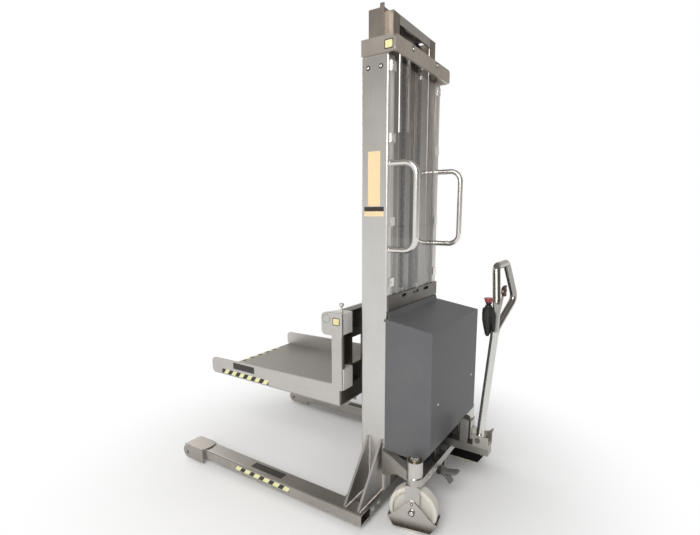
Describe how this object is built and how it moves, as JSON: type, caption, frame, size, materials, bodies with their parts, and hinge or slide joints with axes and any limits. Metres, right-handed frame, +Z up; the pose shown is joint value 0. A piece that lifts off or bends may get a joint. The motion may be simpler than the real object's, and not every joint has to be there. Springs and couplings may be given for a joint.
{
  "type": "semi-electric stacker",
  "caption": "Stainless straddle stacker: a two-stage mast lifts a platform with raised sides, on nylon casters, steered by a tiller.",
  "frame": {"origin": "on the floor under the middle of the whole", "axes": "+X the operator's right, +Y the load side, +Z up"},
  "size_m": [0.95, 1.5459, 2.073],
  "materials": {
    "stainless": "brushed",
    "frame_steel": "bead blasted",
    "hard_chrome": "polished",
    "cover_paint": "semi-matt powder coat",
    "white_nylon": "cast",
    "dark_nylon": "machined",
    "black_plastic": "moulded",
    "red_plastic": "moulded",
    "clear_sheet": "clear",
    "chain_steel": "oiled",
    "bronze": "plain",
    "deck_steel": "brushed"
  },
  "bodies": {
    "chassis": {"leg_left": "stainless", "leg_right": "stainless", "base_beam": "frame_steel", "roller_housing_left": "stainless", "roller_housing_right": "stainless", "outer_upright_left": "stainless", "outer_upright_right": "stainless", "leg_gussets": "stainless", "mast_collar": "stainless", "wear_pads": "white_nylon", "caster_arm_left": "stainless", "caster_arm_right": "stainless", "stem_bushes": "bronze", "rear_strap": "stainless", "chassis_shelf": "frame_steel", "tiller_arm": "stainless", "tiller_bracket": "stainless", "pivot_pins": "frame_steel", "tie_plate": "frame_steel", "cylinder_barrel": "frame_steel", "guard_panels": "clear_sheet", "guard_clips": "stainless", "push_handles": "stainless", "cover": "cover_paint", "fasteners": "stainless", "battery": "black_plastic", "power_pack": "cover_paint", "rear_chains": "chain_steel"},
    "inner_mast": {"inner_upright_left": "stainless", "inner_upright_right": "stainless", "mast_head": "stainless", "foot_tie": "frame_steel", "lift_rod": "hard_chrome", "chain_wheel_pins": "frame_steel", "chain_tops": "chain_steel", "front_chains": "chain_steel"},
    "carriage": {"carriage_beams": "stainless", "roller_frame": "frame_steel", "platform_deck": "deck_steel", "side_plate_left": "stainless", "side_plate_right": "stainless", "platform_shaft": "stainless"},
    "chain_wheels": {"chain_wheels": "frame_steel"},
    "mast_rollers": {"mast_rollers": "dark_nylon"},
    "upper_rollers": {"upper_rollers": "dark_nylon"},
    "lower_rollers": {"lower_rollers": "dark_nylon"},
    "lock_left": {"lock_plunger_left": "stainless"},
    "lock_right": {"lock_plunger_right": "stainless"},
    "swivel_left": {"caster_fork_left": "stainless", "toe_guard_left": "stainless"},
    "swivel_right": {"caster_fork_right": "stainless", "toe_guard_right": "stainless"},
    "wheel_left": {"caster_wheel_left": "white_nylon"},
    "wheel_right": {"caster_wheel_right": "white_nylon"},
    "load_rollers": {"load_rollers": "white_nylon"},
    "tiller": {"tiller": "stainless", "switch_housing": "black_plastic"},
    "stop_button": {"stop_button": "red_plastic"},
    "thumb_rocker": {"thumb_rocker": "black_plastic"},
    "brake_pedal": {"brake_pedal": "frame_steel"}
  },
  "joints": [
    {"name": "mast_lift", "type": "slide", "parent": "chassis", "child": "inner_mast", "axis": [0, 0, 1], "range_m": [-0.17, 0.58], "deforming": ["rear_chains"]},
    {"name": "carriage_lift", "type": "slide", "parent": "inner_mast", "child": "carriage", "axis": [0, 0, 1], "range_m": [-0.17, 0.58], "deforming": ["front_chains"]},
    {"name": "chain_wheel_turn", "type": "hinge", "parent": "inner_mast", "child": "chain_wheels", "pos_m": [0, -0.28102, 1.986], "axis": [1, 0, 0], "continuous": true},
    {"name": "mast_roller_turn", "type": "hinge", "parent": "inner_mast", "child": "mast_rollers", "pos_m": [0, -0.28102, 0.3347], "axis": [1, 0, 0], "continuous": true},
    {"name": "upper_roller_turn", "type": "hinge", "parent": "carriage", "child": "upper_rollers", "pos_m": [0, -0.28102, 0.812], "axis": [1, 0, 0], "continuous": true},
    {"name": "lower_roller_turn", "type": "hinge", "parent": "carriage", "child": "lower_rollers", "pos_m": [0, -0.28102, 0.565], "axis": [1, 0, 0], "continuous": true},
    {"name": "lock_left_pull", "type": "slide", "parent": "carriage", "child": "lock_left", "axis": [0, 0, 1], "range_m": [0, 0.012], "stiffness_N_per_m": 600, "springref_m": -0.006},
    {"name": "lock_right_pull", "type": "slide", "parent": "carriage", "child": "lock_right", "axis": [0, 0, 1], "range_m": [0, 0.012], "stiffness_N_per_m": 600, "springref_m": -0.006},
    {"name": "caster_left_swivel", "type": "hinge", "parent": "chassis", "child": "swivel_left", "pos_m": [-0.316, -0.51502, 0], "axis": [0, 0, 1], "continuous": true},
    {"name": "caster_right_swivel", "type": "hinge", "parent": "chassis", "child": "swivel_right", "pos_m": [0.316, -0.51502, 0], "axis": [0, 0, 1], "continuous": true},
    {"name": "wheel_left_spin", "type": "hinge", "parent": "swivel_left", "child": "wheel_left", "pos_m": [-0.316, -0.51502, 0.1], "axis": [0.9816, 0.1908, 0], "continuous": true},
    {"name": "wheel_right_spin", "type": "hinge", "parent": "swivel_right", "child": "wheel_right", "pos_m": [0.316, -0.51502, 0.1], "axis": [1, 0, 0], "continuous": true},
    {"name": "load_roller_spin", "type": "hinge", "parent": "chassis", "child": "load_rollers", "pos_m": [0, 0.73398, 0.039], "axis": [1, 0, 0], "continuous": true},
    {"name": "tiller_tilt", "type": "hinge", "parent": "chassis", "child": "tiller", "pos_m": [0, -0.67902, 0.314], "axis": [1, 0, 0], "range_deg": [0, 75], "stiffness_Nm_per_rad": 14, "springref_deg": -20.05},
    {"name": "stop_press", "type": "slide", "parent": "tiller", "child": "stop_button", "axis": [0, 0, -1], "range_m": [0, 0.004], "stiffness_N_per_m": 800, "springref_m": -0.002},
    {"name": "rocker_tip", "type": "hinge", "parent": "tiller", "child": "thumb_rocker", "pos_m": [0, -0.75001, 0.978], "axis": [1, 0, 0], "range_deg": [-10, 10], "stiffness_Nm_per_rad": 0.4},
    {"name": "pedal_tip", "type": "hinge", "parent": "chassis", "child": "brake_pedal", "pos_m": [-0.09, -0.53502, 0.16], "axis": [1, 0, 0], "range_deg": [-12, 12]}
  ],
  "couplings": [
    {"joint": "carriage_lift", "follows": "mast_lift", "ratio": 1},
    {"joint": "chain_wheel_turn", "follows": "mast_lift", "rad_per_m": 26.455}
  ]
}
